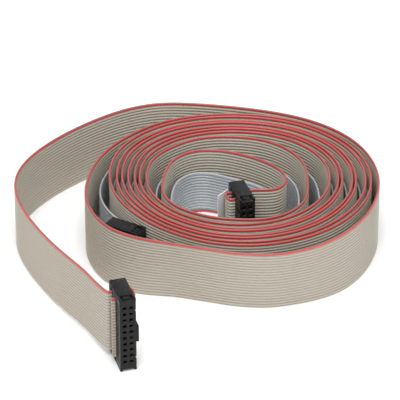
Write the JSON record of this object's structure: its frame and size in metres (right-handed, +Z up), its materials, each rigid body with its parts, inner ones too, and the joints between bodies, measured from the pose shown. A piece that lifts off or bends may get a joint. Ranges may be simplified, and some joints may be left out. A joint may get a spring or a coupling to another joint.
{
  "type": "coiled flat ribbon leads with sockets",
  "caption": "Two flat ribbon leads wound together in one loose coil on edge, with black two row sockets at their ends.",
  "frame": {"origin": "on the surface that the bundle stands on, below the middle of its box", "axes": "+Z up, along the width of the ribbons, +Y along the longer side of the bundle, away from the socket at the end of the loose lead"},
  "size_m": [0.1402, 0.1544, 0.0303],
  "materials": {
    "ribbon_beige": "satin",
    "ribbon_blue_grey": "satin",
    "insulation_red": "satin",
    "socket_black": "matte",
    "contact_metal": "polished",
    "film": "translucent"
  },
  "bodies": {
    "root": {"marker_film": "film", "narrow_inner_end_grey": "ribbon_blue_grey", "narrow_inner_end_red": "insulation_red", "narrow_outer_end_grey": "ribbon_blue_grey", "narrow_outer_end_red": "insulation_red", "ribbon_coil": "ribbon_beige", "socket_a_body": "socket_black", "socket_a_contacts": "contact_metal", "socket_a_cover": "socket_black", "socket_a_ribbon_grey": "ribbon_beige", "socket_a_ribbon_red": "insulation_red", "socket_a_strain_relief": "socket_black", "socket_b_body": "socket_black", "socket_b_contacts": "contact_metal", "socket_b_cover": "socket_black", "socket_b_ribbon_grey": "ribbon_beige", "socket_b_ribbon_red": "insulation_red", "socket_b_strain_relief": "socket_black", "socket_c_body": "socket_black", "socket_c_contacts": "contact_metal", "socket_c_cover": "socket_black", "socket_c_ribbon_grey": "ribbon_blue_grey", "socket_c_ribbon_red": "insulation_red", "socket_c_strain_relief": "socket_black", "socket_d_body": "socket_black", "socket_d_contacts": "contact_metal", "socket_d_cover": "socket_black", "socket_d_ribbon_grey": "ribbon_blue_grey", "socket_d_ribbon_red": "insulation_red", "wide_inner_end_grey": "ribbon_beige", "wide_inner_end_red": "insulation_red", "wide_outer_end_grey": "ribbon_beige", "wide_outer_end_red": "insulation_red"}
  },
  "joints": []
}
